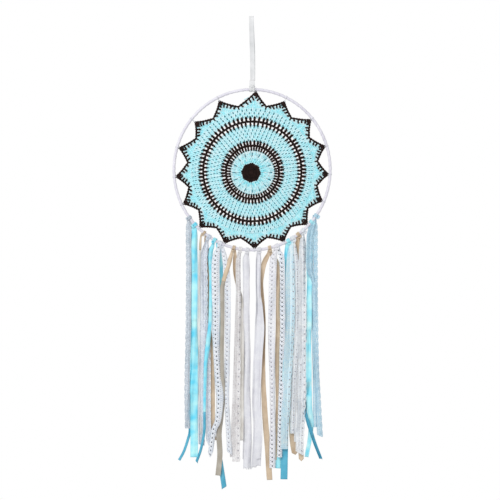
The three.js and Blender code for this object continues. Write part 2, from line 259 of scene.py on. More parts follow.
# ---- Materials ----
class Nodes:
    """A material's node tree, with short ways to add what these finishes share."""

    def __init__(self, name, colour, roughness, sheen=0.0, metallic=0.0):
        self.material = bpy.data.materials.new(name)
        self.material.use_nodes = True
        self.tree = self.material.node_tree
        self.shader = self.tree.nodes["Principled BSDF"]
        self.shader.inputs["Base Color"].default_value = (*colour, 1)
        self.shader.inputs["Roughness"].default_value = roughness
        self.shader.inputs["Metallic"].default_value = metallic
        self.shader.inputs["Sheen Weight"].default_value = sheen

    def node(self, kind, **sockets):
        made = self.tree.nodes.new(kind)
        for name, value in sockets.items():
            made.inputs[name.replace("_", " ")].default_value = value
        return made

    def link(self, output, socket):
        self.tree.links.new(output, socket)

    def maths(self, operation, first, second=0.0):
        made = self.tree.nodes.new("ShaderNodeMath")
        made.operation = operation
        for socket, value in zip(made.inputs, (first, second)):
            if isinstance(value, (int, float)):
                socket.default_value = value
            else:
                self.link(value, socket)
        return made.outputs[0]

    def thread_axes(self):
        """How far along the thread or ribbon a point is, and where it is across it."""
        place = self.tree.nodes.new("ShaderNodeUVMap")
        place.uv_map = "Thread"
        split = self.tree.nodes.new("ShaderNodeSeparateXYZ")
        self.link(place.outputs[0], split.inputs[0])
        return split.outputs[0], split.outputs[1]

    def noise(self, scale, detail=2.0):
        place = self.tree.nodes.new("ShaderNodeTexCoord")
        made = self.node("ShaderNodeTexNoise", Scale=scale, Detail=detail)
        self.link(place.outputs["Object"], made.inputs["Vector"])
        return made.outputs["Fac"]

    def hollow(self, reach, own_only=True):
        """How open a place is to the air round it: 1 on top of the threads, less between them."""
        made = self.node("ShaderNodeAmbientOcclusion", Distance=reach)
        made.samples = 6
        made.only_local = own_only
        return made.outputs["AO"]

    def paint_shade(self, openness, shadow, shut, clear):
        """Paints shade: turns the colour towards a shadow colour as the openness falls from clear to shut."""
        socket = self.shader.inputs["Base Color"]
        span = self.node("ShaderNodeMapRange", From_Min=shut, From_Max=clear)
        self.link(openness, span.inputs["Value"])
        mix = self.tree.nodes.new("ShaderNodeMix")
        mix.data_type = "RGBA"
        source = socket.links[0].from_socket
        self.link(span.outputs[0], mix.inputs["Factor"])
        self.link(source, mix.inputs[7])
        mix.inputs[6].default_value = (*shadow, 1)
        self.link(mix.outputs[2], socket)

    def shade(self, factor, dark, light):
        """Colours the surface between two versions of its own colour."""
        ramp = self.tree.nodes.new("ShaderNodeValToRGB")
        ramp.color_ramp.elements[0].position = 0.3
        ramp.color_ramp.elements[1].position = 0.7
        ramp.color_ramp.elements[0].color = (*dark, 1)
        ramp.color_ramp.elements[1].color = (*light, 1)
        self.link(factor, ramp.inputs[0])
        self.link(ramp.outputs[0], self.shader.inputs["Base Color"])

    def bump(self, height, distance, strength=1.0):
        made = self.node("ShaderNodeBump", Distance=distance, Strength=strength)
        self.link(height, made.inputs["Height"])
        self.link(made.outputs[0], self.shader.inputs["Normal"])


def yarn_material(name, colour, dark, light, shadow, sheen=0.15):
    """Cotton yarn: plies twisted round each other, a little fuzz, uneven dye, and painted shade in grooves
    and hollows.
    """
    made = Nodes(name, colour, 0.9, sheen=sheen)
    made.shader.inputs["Specular IOR Level"].default_value = 0.2
    along, around = made.thread_axes()
    lean = made.maths("MULTIPLY", around, 2 * TAU)
    plies = made.maths("SINE", made.maths("ADD", made.maths("MULTIPLY", along, TAU / 1.1), lean))
    fuzz = made.noise(4200, 3)
    height = made.maths("ADD", made.maths("MULTIPLY", plies, 0.5), fuzz)
    made.bump(height, 0.00012, 0.7)
    uneven = made.noise(170, 3)
    # uneven dye, with the plies painted lighter on top and darker in their grooves: painted shade
    factor = made.maths("ADD", made.maths("MULTIPLY", plies, 0.12), uneven)
    made.shade(factor, dark, light)
    # painted shade towards the shadow colour where the yarn's own strands close round a place
    made.paint_shade(made.hollow(0.003), shadow, -0.05, 0.36)
    return made.material


def satin_material(name, colour, dark, light, shadow=None):
    """Satin ribbon: floating threads that run along it, seen as a fine grain; colour streaked by uneven dye
    and painted sheen.
    """
    made = Nodes(name, colour, 0.42, sheen=0.15)
    made.shader.inputs["Specular IOR Level"].default_value = 0.45
    across, along = made.thread_axes()
    grain = made.maths("SINE", made.maths("MULTIPLY", across, TAU / 0.35))
    picks = made.maths("SINE", made.maths("MULTIPLY", along, TAU / 0.5))
    height = made.maths("ADD", grain, made.maths("MULTIPLY", picks, 0.4))
    made.bump(height, 0.00003, 0.5)
    # lighter and darker streaks: partly uneven dye, partly painted sheen
    tone_and_painted_sheen = made.noise(55, 2)
    made.shade(tone_and_painted_sheen, dark, light)
    # with a shadow colour: painted shade where other pieces lie close
    if shadow:
        made.paint_shade(made.hollow(0.006, own_only=False), shadow, -0.2, 0.75)
    return made.material


def cloth_material(name, colour, dark, light, thread, speckle=0.0):
    """Plain woven or knitted cotton, with threads both ways. Lace is speckled by its own loops and holes."""
    made = Nodes(name, colour, 0.9, sheen=0.15)
    across, along = made.thread_axes()
    one = made.maths("SINE", made.maths("MULTIPLY", across, TAU / thread))
    other = made.maths("SINE", made.maths("MULTIPLY", along, TAU / thread))
    height = made.maths("MULTIPLY", one, other)
    made.bump(made.maths("ADD", height, made.noise(2500, 2)), 0.00008, 0.6)
    soft = made.maths("MULTIPLY", made.noise(90, 2), 1 - speckle)
    grain = made.maths("MULTIPLY", made.noise(520, 1), speckle)
    made.shade(made.maths("ADD", soft, grain), dark, light)
    return made.material


def lace_material(name, colour, dark, light):
    return cloth_material(f"{name}_lace", colour, dark, light, 0.45, 0.6)


def steel_material():
    made = Nodes("steel_wire", (0.6, 0.61, 0.62), 0.35, metallic=1.0)
    made.bump(made.noise(900, 2), 0.00002, 0.4)
    made.shade(made.noise(60, 2), (0.5, 0.51, 0.52), (0.66, 0.67, 0.68))
    return made.material


TURQUOISE = yarn_material(
    "turquoise_yarn", (0.58, 0.94, 0.98), (0.42, 0.90, 0.97), (0.74, 0.97, 1.0), (0.05, 0.32, 0.42))
BRIGHT_TURQUOISE = yarn_material(
    "bright_turquoise_yarn", (0.36, 0.93, 1.0), (0.27, 0.88, 0.99), (0.52, 0.97, 1.0), (0.04, 0.32, 0.44))
# A dark copy of the turquoise yarn for the loops deep between stitches: painted shade.
SHADED_TURQUOISE_YARN = yarn_material(
    "turquoise_yarn_painted_shade", (0.05, 0.25, 0.31), (0.035, 0.20, 0.26), (0.08, 0.32, 0.38), (0.02, 0.12, 0.16))
TURQUOISE_YARNS = [TURQUOISE, BRIGHT_TURQUOISE, SHADED_TURQUOISE_YARN]
DARK = yarn_material(
    "dark_yarn", (0.012, 0.007, 0.006), (0.008, 0.004, 0.0035), (0.030, 0.013, 0.010), (0.004, 0.002, 0.002),
    sheen=0.02)
THREAD = yarn_material(
    "white_thread", (0.80, 0.81, 0.84), (0.74, 0.75, 0.79), (0.86, 0.87, 0.90), (0.4, 0.4, 0.45))
WHITE_RIBBON = satin_material("white_ribbon", (0.79, 0.77, 0.84), (0.72, 0.70, 0.78), (0.85, 0.83, 0.89))
HANGER_RIBBON = satin_material(
    "hanger_ribbon_white", (0.76, 0.77, 0.77), (0.70, 0.71, 0.71), (0.82, 0.82, 0.82))
BLUE_SATIN = satin_material(
    "turquoise_satin", (0.30, 0.92, 1.0), (0.13, 0.73, 0.96), (0.56, 1.0, 1.0), (0.06, 0.36, 0.48))
# The turquoise ribbons' back, much darker than their front: painted shade on the turned-over ends.
TURQUOISE_BACK_SHADED = satin_material(
    "turquoise_satin_back_painted_shade", (0.08, 0.44, 0.62), (0.05, 0.37, 0.54), (0.13, 0.52, 0.70), (0.02, 0.16, 0.24))
TAN_SATIN = satin_material(
    "tan_satin", (0.66, 0.51, 0.35), (0.57, 0.43, 0.29), (0.75, 0.60, 0.43), (0.36, 0.26, 0.17))
PALE_SATIN = satin_material(
    "tan_satin_back", (0.80, 0.77, 0.72), (0.72, 0.69, 0.64), (0.88, 0.86, 0.82), (0.5, 0.47, 0.42))
# A darker copy of the tan satin: painted shade, for a tail that hangs behind the others.
SHADED_TAN_SATIN = satin_material(
    "tan_satin_painted_shade", (0.45, 0.40, 0.33), (0.38, 0.34, 0.27), (0.52, 0.48, 0.41), (0.24, 0.21, 0.16))
PALE_BLUE_SATIN = satin_material(
    "pale_turquoise_satin", (0.44, 0.95, 1.0), (0.26, 0.82, 0.97), (0.68, 1.0, 1.0), (0.08, 0.38, 0.48))
GREY_LACE = lace_material("grey", (0.60, 0.67, 0.74), (0.44, 0.51, 0.58), (0.76, 0.82, 0.88))
DUSK_LACE = lace_material("dusk", (0.74, 0.79, 0.88), (0.56, 0.61, 0.71), (0.91, 0.95, 1.0))
LILAC_LACE = lace_material("lilac", (0.90, 0.91, 0.96), (0.78, 0.78, 0.86), (1.0, 1.0, 1.0))
ROSE_LACE = lace_material("rose", (0.88, 0.85, 0.85), (0.70, 0.66, 0.65), (1.0, 0.99, 0.99))
SILVER_LACE = lace_material("silver", (0.84, 0.88, 0.93), (0.69, 0.74, 0.80), (0.98, 1.0, 1.0))
WHITE_LACE = lace_material("white", (0.88, 0.91, 0.96), (0.70, 0.77, 0.87), (1.0, 1.0, 1.0))
BLUE_LACE = lace_material("blue", (0.72, 0.94, 1.0), (0.56, 0.84, 0.99), (0.88, 1.0, 1.0))
SKY_LACE = lace_material("sky", (0.46, 0.72, 0.84), (0.34, 0.58, 0.74), (0.62, 0.84, 0.93))
CHIFFON = cloth_material("chiffon", (0.82, 0.82, 0.86), (0.76, 0.76, 0.81), (0.89, 0.89, 0.91), 0.3, 0.3)
# Discs across the big eyelets, grey and dark: painted shade that stands for what is seen through them.
EYELET_DARK_SHADE = cloth_material(
    "eyelet_dark_painted_shade", (0.05, 0.07, 0.08), (0.03, 0.045, 0.055), (0.09, 0.11, 0.12), 0.3)
EYELET_GREY_SHADE = cloth_material(
    "eyelet_grey_painted_shade", (0.42, 0.41, 0.45), (0.35, 0.35, 0.39), (0.50, 0.49, 0.53), 0.3)


def place_piece(piece, body, node):
    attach(piece, body)
    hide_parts(node)


# ---- The ring ----
def on_ring(angle):
    """A point of the tube's centre line, at an angle clockwise from the top, as x and z."""
    return np.array([RING_X * math.sin(angle), RING_CENTRE + RING_Z * math.cos(angle)])


def wrapped_hoop():
    """Ribbon wound round the ring, each turn lapping the last."""
    along, sides = 24 * HOOP_WRAPS, 18
    angle = np.arange(along) / along * TAU
    centre = np.stack([RING_X * np.sin(angle), np.zeros(along), RING_CENTRE + RING_Z * np.cos(angle)], 1)
    outward = np.cross(BACK, directions(centre, closed=True))
    outward *= np.sign(np.sum(outward * (centre - [0, 0, RING_CENTRE]), 1, keepdims=True))
    around = np.arange(sides) / sides * TAU
    turns = HOOP_WRAPS * angle[:, None] / TAU + around[None] / TAU
    slack = np.array([dice.uniform(-0.07, 0.07) for _ in range(HOOP_WRAPS + 2)])
    whole = np.floor(turns)
    lap = turns - whole
    radius = 2.0 + 0.42 * ease(lap * 1.15) + 0.1 * np.sin(lap * math.pi)
    radius = radius + slack[whole.astype(int) % HOOP_WRAPS]
    points = rings(centre, outward, np.tile(BACK, (along, 1)), radius[:, :, None], sides)
    i, j, quads = ring_faces(along, sides, closed=True)
    run = angle * RING_Z
    u = np.stack([j, j + 1, j + 1, j], 1) / sides * TAU * TUBE_RADIUS
    v = np.stack([run[i], run[i], run[i] + 0.7, run[i] + 0.7], 1)
    shell = Shell()
    shell.add(points, [quads], [np.stack([v, u], 2)])
    place_piece(shell.build("hoop_ribbon_wrap", WHITE_RIBBON), "hoop", "hoop_wrap")


def steel_core():
    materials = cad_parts["hoop_core"].data.materials
    materials.clear()
    materials.append(steel_material())


# ---- The crochet ----
def lay(radius, turn, depth=0.0):
    """A place on the flat star, in the ring: its middle hangs low and its points drift downwards."""
    radius, turn, depth = np.broadcast_arrays(np.asarray(radius, float), turn, depth)
    share = (radius / CROCHET_REACH) ** 2
    downwards = 4.3 * np.sin(turn) + 1.8 * np.sin(2 * turn)
    twist = 0.9 * (1 - np.cos(turn))
    drift = np.radians(downwards - twist) * share
    oval = 1 + 0.014 * share * np.cos(2 * turn)
    sag = 1 - np.minimum(share, 1)
    pulled = ROSETTE_PULL * ease((28 - radius) / 14)
    x = radius * oval * np.sin(turn + drift) + SIDEWAYS * sag - pulled
    z = RING_CENTRE + radius * oval * np.cos(turn + drift) - SAG * sag
    return np.stack([x, depth, z], -1)


def tie_slack(index, centre, outward):
    """How far short of the ring a tie holds its point: nearer than the plate, as yarn is fuller."""
    low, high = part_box(f"lacing_tie_{index + 1:02d}")
    middle = np.array([low.x + high.x, low.z + high.z]) / 2 / MM
    plate = 2 * np.dot(centre - middle, outward) - 1.6
    return max(plate * 0.75 - 0.3, 0.3)


def star_tip(index):
    """Where a point of the star is tied: the tube's centre, the way outwards, and the point's end."""
    away = lay(CROCHET_REACH, index / POINTS * TAU)
    angle = math.atan2(away[0] / RING_X, (away[2] - RING_CENTRE) / RING_Z)
    beside_knot = math.radians(2.9) if index == 0 else 0
    centre = on_ring(angle + beside_knot)
    outward = unit(centre - [0, RING_CENTRE])
    tip = centre - outward * (TUBE_RADIUS + tie_slack(index, centre, outward))
    return centre, outward, tip


def flat_point(point, depth=0.0):
    return np.array([point[0], depth, point[1]])


def twisted(shell, start, end, radius, apart, turns=1.2, phase=0.0, steps=8, bow=0.0):
    """Two strands twisted round each other from one place to another."""
    start, end = np.asarray(start, float), np.asarray(end, float)
    ahead = unit(end - start)
    side = unit(np.cross(ahead, BACK))
    t = np.linspace(0, 1, steps + 1)[:, None]
    line = start + (end - start) * t + side * bow * np.sin(math.pi * t)
    for strand in (0, math.pi):
        angle = TAU * turns * t + strand + phase
        narrow = 0.45 + 0.55 * np.sin(math.pi * np.clip(t, 0.08, 0.92))
        path = line + (side * np.cos(angle) + BACK * np.sin(angle)) * apart * narrow
        tube(shell, path, radius)


def chain(shell, centre_line, stitches, radius, spread, depth=0.0, closed=True):
    """A row of chain stitches: two strands that part in each stitch and meet between stitches."""
    count = len(centre_line)
    ahead = directions(centre_line, closed)
    side = unit(np.cross(ahead, BACK))
    t = np.arange(count)[:, None] / count * stitches
    opening = 0.62 + 0.38 * np.cos(TAU * t)
    roll = np.sin(TAU * t)
    for sign in (-1, 1):
        path = centre_line + side * (sign * spread * opening) + BACK * (depth + sign * 0.35 * spread * roll)
        tube(shell, path, radius, closed=closed)


def ring_line(radius, stitches, samples=6):
    turn = np.arange(stitches * samples) / (stitches * samples) * TAU
    return lay(radius, turn)


def dense_row(shell, inner, outer, clusters, per, fill=1.0, offset=0.0, base_fill=0.92):
    """A round of tall stitches in clusters, each a pair of fat legs that opens outwards, lined by a second
    layer of legs behind the gaps of the first."""
    pitch = TAU / (clusters * per)
    leg = pitch * (inner + outer) / 2 * 0.215
    for shift, depth in ((0, -0.45), (0.5, 1.15)):
        for cluster in range(clusters):
            middle = (cluster + 0.5 + shift / per) * TAU / clusters + offset
            for k in range(per):
                place = (k - (per - 1) / 2) * pitch
                for sign in (-1, 1):
                    base = middle + place * base_fill + sign * pitch * 0.18
                    wander = dice.uniform(-0.05, 0.05) * pitch
                    top = middle + place * fill + sign * pitch * 0.25 + wander
                    start = lay(inner, base, depth + 0.15)
                    end = lay(outer, top, depth - 0.2)
                    phase = dice.uniform(0, TAU)
                    twisted(shell, start, end, leg * 0.68, leg * 0.42, 1.0, phase, steps=6)


def shaded_gaps(shell, inner, outer, count, radius, offset=0.0):
    """The loops deep between two stitches, which little light reaches, in the yarn's dark painted-shade copy.
    """
    shell.finish = 2
    margin = (outer - inner) * 0.2
    for k in range(count):
        turn = k / count * TAU + offset
        path = lay(np.linspace(inner + margin, outer - margin, 4), turn, [0.5, 0.05, 0.05, 0.5])
        tube(shell, path, [0.5 * radius, radius, radius, 0.5 * radius], 6)
    shell.finish = 0


def blue_rings(shell, radii_and_counts):
    """Chains between the rounds, in front of them and behind."""
    for radius, count in radii_and_counts:
        chain(shell, ring_line(radius, count, 5), count, YARN * 0.95, 0.62, depth=-0.75)
        chain(shell, ring_line(radius + 0.1, count, 5), count, YARN * 0.8, 0.5, depth=0.65)


def blue_rounds(shell, inner, outer, stitches, chains, turned, gap):
    """Rounds of stitches out to a radius, each turned by a share of a stitch more than the last."""
    edges = np.linspace(inner, outer, len(chains))
    for row, (count, low, high) in enumerate(zip(stitches, edges, edges[1:])):
        offset = row * turned * TAU / count
        dense_row(shell, low, high, count, 1, offset=offset)
        shaded_gaps(shell, low, high, count, offset=offset, radius=gap)
    blue_rings(shell, zip(edges, chains))


def bars(shell, chain_radius, reach, count, thick, offset=0.0):
    """Dark stitches from a chain, out over the edge of the turquoise round beside it and in behind."""
    for k in range(count):
        turn = (k + 0.5 + dice.uniform(-0.1, 0.1)) / count * TAU + offset
        slip = dice.uniform(-0.12, 0.12) / count * TAU
        start = lay(chain_radius, turn, 0.0)
        end = lay(reach, turn + slip, -1.9)
        twisted(shell, start, end, thick * 0.66, thick * 0.44, 1.0, phase=dice.uniform(0, TAU), steps=9,
                bow=dice.uniform(-0.2, 0.2))
        tube(shell, lay(reach, turn + slip, np.linspace(-1.9, 1.6, 7)), thick * 0.6, 7)


def crochet_piece(shell, node, slot, *yarns):
    place_piece(shell.build(f"{node}_yarn", *yarns), "hoop", node)


def rosette():
    shell = Shell()
    tube(shell, lay(1.2, np.arange(14) / 14 * TAU, 0), 0.9, 7, closed=True)
    dense_row(shell, 1.9, 6.0, 4, 3)
    chain(shell, ring_line(6.2, 14), 14, 0.5, 0.55, depth=-0.6)
    dense_row(shell, 6.0, 10.4, 12, 2)
    chain(shell, ring_line(10.6, 22), 22, 0.5, 0.6, depth=-0.6)
    dense_row(shell, 10.3, 13.2, 16, 2)
    coil = np.arange(0, 7 * TAU, 0.22)
    tube(shell, lay(0.3 + coil / TAU * 1.9, coil, 0.8), 1.1, 7)
    turn = np.arange(8 * 24) / (8 * 24) * TAU
    for reach, depth in ((13.7, -0.4), (12.0, 0.4)):
        lobes = lay(reach + 1.1 * np.cos(8 * (turn - 0.1)), turn)
        chain(shell, lobes, 32, 1.05, 0.7, depth=depth)
    crochet_piece(shell, "crochet_centre_rosette", "dark_yarn", DARK)


def inner_turquoise():
    shell = Shell()
    edge = INNER_BLUE + 1.4
    shell.finish = 1
    dense_row(shell, 14.6, 23.2, 16, 2, fill=0.86)
    shell.finish = 0
    dense_row(shell, 22.8, edge, 16, 3, fill=0.95, base_fill=0.72)
    shaded_gaps(shell, 16.6, 22.8, 16, offset=0.5 / 16 * TAU, radius=0.7)
    shaded_gaps(shell, 25.0, 32.8, 16, radius=1.15)
    blue_rings(shell, [(15.4, 24), (23.4, 36), (edge, 56)])
    crochet_piece(shell, "crochet_inner_turquoise", "turquoise_yarn", *TURQUOISE_YARNS)


def middle_turquoise():
    shell = Shell()
    blue_rounds(shell, INNER_DARK - OVERLAP + 0.4, MIDDLE_BLUE + OVERLAP, (52, 58, 64, 70, 76),
                (52, 56, 60, 66, 72, 76), turned=0.37, gap=0.8)
    crochet_piece(shell, "crochet_middle_turquoise", "turquoise_yarn", *TURQUOISE_YARNS)


def dark_band(node, inner, outer, inner_count, outer_count, thick):
    """A chain with long dark stitches on both sides of it."""
    shell = Shell()
    middle = (inner + outer) / 2
    bars(shell, middle, inner + thick * 0.75, inner_count, thick)
    bars(shell, middle, outer - thick * 0.6, outer_count, thick * 1.15, offset=0.3 / outer_count)
    chain(shell, ring_line(middle, inner_count, 6), inner_count, 1.15, 0.9, depth=-0.9)
    crochet_piece(shell, node, "dark_yarn", DARK)


def valley_point(index, inwards=0.0):
    """The bottom of the valley after a point of the star."""
    turn = (index + 0.5) / POINTS * TAU
    return lay(VALLEY + VALLEY_PULL * math.cos(turn - PULLED_TOWARDS) - inwards, turn)


def flank(index, side, steps):
    """The star's outline from a valley up to a point, on one side of it (-1 before, 1 after)."""
    valley = valley_point(index if side > 0 else index - 1)
    tip = flat_point(star_tip(index)[2])
    t = np.linspace(0, 1, steps)[:, None]
    line = valley + (tip - valley) * t
    outward = unit(np.cross(tip - valley, BACK)) * side
    return line + outward * 1.0 * np.sin(math.pi * t ** 1.2)


def star_outline(steps):
    """The whole outline, point by point, clockwise from the valley before the top point."""
    line = []
    for index in range(POINTS):
        line.append(flank(index, -1, steps)[:-1])
        line.append(flank(index, 1, steps)[::-1][:-1])
    return np.vstack(line)


def fan_spokes(shell, index, side):
    """The tall stitches of half a fan: alternately two blues near the middle, pale towards the edge."""
    spokes = 10
    half_foot = 0.27  # half the fan's width at its foot, as a share of the way to the next fan
    edge = flank(index, side, spokes * 4 + 1)
    for k in range(spokes):
        share = 1 - (k + 0.5) / spokes
        base = lay(FAN_BASE - TUCK, (index + side * share * half_foot) / POINTS * TAU, 0.35)
        top = edge[int(round((1 - share) * spokes * 4))]
        end = top + unit(base - top) * 1.5
        end[1] = -0.2
        middle = base + (end - base) * 0.6
        shell.finish = 1 - k % 2
        twisted(shell, base, middle, 0.6, 0.4, 1.0, dice.uniform(0, TAU), steps=7)
        shell.finish = 0
        twisted(shell, middle, end, 0.52, 0.36, 1.2, dice.uniform(0, TAU), steps=7)


def valley_stitches(shell, index):
    """Short stitches that fill the valley between two fans."""
    valley = valley_point(index, 1.2)
    for step in np.linspace(-0.2, 0.2, 9):
        base = lay(FAN_BASE - TUCK, (index + 0.5 + step) / POINTS * TAU, -0.3)
        end = base + (valley - base) * (1 - 1.6 * abs(step))
        twisted(shell, base, end, 0.68, 0.45, 1.0, dice.uniform(0, TAU), steps=6)


def fan_chains(shell, index):
    """Two rows of chain across a fan, which hold its spokes apart."""
    tip_radius = np.linalg.norm(star_tip(index)[2] - [0, RING_CENTRE])
    for height, reach, stitches in ((0.34, 0.40, 7), (0.62, 0.26, 4)):
        span = np.linspace(-reach, reach, 30)
        crest = FAN_BASE + (tip_radius - FAN_BASE) * height * (1 - (span / 0.62) ** 2)
        arc = lay(crest, (index + span) / POINTS * TAU, 0.0)
        chain(shell, arc, stitches, 0.42, 0.5, depth=0.5, closed=False)


def fans():
    """Turquoise rounds, and a fan of spokes on them for each point of the star."""
    shell = Shell()
    blue_rounds(shell, OUTER_DARK - OVERLAP, FAN_BASE, (78, 84, 90), (78, 82, 88, 94), turned=0.41, gap=0.75)
    for index in range(POINTS):
        fan_spokes(shell, index, -1)
        fan_spokes(shell, index, 1)
        valley_stitches(shell, index)
        fan_chains(shell, index)
    crochet_piece(shell, "crochet_turquoise_fans", "turquoise_yarn", *TURQUOISE_YARNS)


def flank_stitches(shell, index, side):
    """Dark stitches that run in from one side of a point."""
    centre = lay(FAN_BASE + LEAN, index / POINTS * TAU)
    tip = flat_point(star_tip(index)[2])
    edge = flank(index, side, 101)
    normal = unit(np.cross(tip - edge[0], BACK)) * side
    for share in (0.15, 0.36, 0.57, 0.77):
        place = edge[int((share + dice.uniform(-0.03, 0.03)) * 100)]
        inward = unit(unit(centre - place) * 0.6 + normal * 0.8)
        if (centre - place).dot(inward) < 0:
            inward = unit(centre - place)
        length = 5.0 + 1.8 * share + dice.uniform(-1.3, 1.3)
        end = place + inward * length + FRONT * 1.5
        twisted(shell, place, end, 1.12, 0.55, 1.0, dice.uniform(0, TAU), steps=6)


def tip_stitches(shell, index):
    """The cluster of dark stitches at a point of the star, and the loop that its tie goes through."""
    tip = flat_point(star_tip(index)[2])
    inward = unit(lay(FAN_BASE + LEAN, index / POINTS * TAU) - tip)
    across = np.cross(inward, BACK)
    for spread in (-0.5, -0.17, 0.17, 0.5):
        length = 7.8 - 4.5 * abs(spread)
        end = tip + unit(inward + across * spread) * length + FRONT * 1.2
        twisted(shell, tip + inward * 0.6, end, 1.0, 0.5, 1.2, dice.uniform(0, TAU), steps=8)
    around = (np.arange(10) / 10 * TAU)[:, None]
    tube(shell, tip + (across * np.cos(around) + inward * np.sin(around)) * 0.8, 1.2, 7, closed=True)


def edging():
    """The dark chain round the star, with its stitches at every point and valley."""
    shell = Shell()
    chain(shell, star_outline(37), POINTS * EDGE_STITCHES, 1.1, 0.85, depth=-0.2)
    for index in range(POINTS):
        flank_stitches(shell, index, -1)
        flank_stitches(shell, index, 1)
        tip_stitches(shell, index)
        twisted(shell, valley_point(index), valley_point(index, 4.2) + FRONT * 1.2, 0.95, 0.5, 1.0, steps=6)
    crochet_piece(shell, "crochet_dark_edging", "dark_yarn", DARK)


def lacing_tie(index):
    """Two turns of thread round the tube and through the point of the star, with a small knot in front."""
    centre, outward, tip = star_tip(index)
    reach = np.linalg.norm(centre - tip) + 1.9
    axis = flat_point(outward)
    across = np.cross(axis, BACK)
    top = TUBE_RADIUS + 0.15
    steps = 40
    t = np.arange(steps * 2 + 1) / steps
    around = t * TAU
    up = np.cos(around)
    height = np.where(up > 0, up * top, up * reach)
    pinch = np.where(up > 0, 1.0, 0.45 + 0.55 * (1 + up))
    depth = -np.sin(around) * top * pinch
    slide = (t - 1) * 0.55
    path = flat_point(centre) + axis * height[:, None] + BACK * depth[:, None] + across * slide[:, None]
    shell = Shell()
    tube(shell, path, TIE_THREAD, 6)
    knot = np.arange(13) / 12 * TAU
    loop = flat_point(centre) + FRONT * (top + 0.25) + across * np.cos(knot)[:, None] * 0.55
    loop = loop + axis * (np.sin(knot) * 0.45 - 0.4)[:, None] + FRONT * (0.12 * np.sin(2 * knot))[:, None]
    tube(shell, loop[:-1], 0.28, 6, closed=True)
    number = f"{index + 1:02d}"
    piece = shell.build(f"lacing_thread_{number}", THREAD)
    place_piece(piece, "hoop", f"lacing_tie_{number}")


# ---- The hanger ----
def hanger():
    """One ribbon over the nail. Its front strand and its back strand lie a little out of line."""
    eye = 4.35
    foot = -101.0
    width, thickness = 7.5, 0.35
    top = -eye + 0.35
    front = [(0.7, -1.0, foot), (0.7, -0.9, -80), (0.4, -1.1, -58), (-0.4, -2.6, -38), (-1.0, -eye, -16)]
    over = np.radians(np.arange(0, 181, 30))
    arc = [(-1.1, -eye * math.cos(a), top + eye * math.sin(a)) for a in over]
    back = [(-0.8, eye, -16), (0.2, 2.5, -38), (0.9, 1.1, -58), (1.0, 0.9, -80), (0.9, 1.0, foot)]
    path = smooth_path(front + arc + back, 1.6)
    across = np.tile([1.0, 0.0, 0.0], (len(path), 1))
    across[:, 1] = 0.06 * np.sin(path[:, 2] / 9)
    shell = Shell()
    strip(shell, path, across, width, thickness, cup=-0.45 + 0.2 * np.sin(path[:, 2] / 13))
    ribbon = shell.build("hanger_ribbon_loop", HANGER_RIBBON)
    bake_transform(ribbon)
    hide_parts("hanger_ribbon")


def lark_head(shell, place, tangent, gathered, plump=1.0):
    """A ribbon's turn round the ring: two gathered wraps, and the fold that crosses in front of them."""
    downwards = -np.cross(tangent, BACK)
    wrap_radius, drop, thickness = 3.35, 4.6, 0.7
    for side in (-1, 1):
        a = np.radians(np.linspace(-168, 168, 29))[:, None]
        swell = wrap_radius * plump + 0.12 * np.sin(5 * a + side)
        path = place + tangent * side * gathered * 0.27 + (-downwards * np.cos(a) + FRONT * np.sin(a)) * swell
        across = np.tile(tangent, (len(path), 1))
        strip(shell, path, across, gathered * 0.52, thickness, cup=-0.35,
              pleats=lambda run, share: 0.22 * np.sin(share * 15 + run * 0.25 + side))
    b = np.radians(np.linspace(-25, 205, 25))[:, None]
    middle = place + downwards * drop
    path = middle + tangent * np.cos(b) * gathered * 0.5 + FRONT * (0.4 + np.sin(b) * 2.3 * plump)
    path = path + downwards * (0.9 * np.sin(b) ** 2 - 0.5)
    across = np.tile(downwards, (len(path), 1))
    strip(shell, path, across, gathered * 0.5, thickness, cup=-0.35,
          pleats=lambda run, share: 0.2 * np.sin(share * 14 + run * 0.3))


def hanger_knot():
    """The lark's head that holds the ring, and the foot of the two strands above it."""
    place = flat_point(on_ring(0))
    shell = Shell()
    gathered, strand = 8.0, 8.2  # widths of the turn and of the strands above it
    lark_head(shell, place, np.array([-1.0, 0.0, 0.0]), gathered)
    for depth in (-1.15, 1.15):
        foot = [(0.1, depth * 2.2, -110.5), (0, depth * 1.5, -107)]
        path = smooth_path(foot + [(0, depth, -104), (0, depth * 0.9, -100.5)], 0.8)
        across = np.tile([1.0, 0, 0], (len(path), 1))
        strip(shell, path, across, strand, 0.5, pleats=lambda run, share: 0.2 * np.sin(share * 16))
    place_piece(shell.build("hanger_knot_ribbon", HANGER_RIBBON), "knot", "hanger_knot")


# ---- The streamers ----
CURL_HALF = np.linspace(0.02, 2.5, 200)
CURL_CHORD = np.sin(CURL_HALF) / CURL_HALF


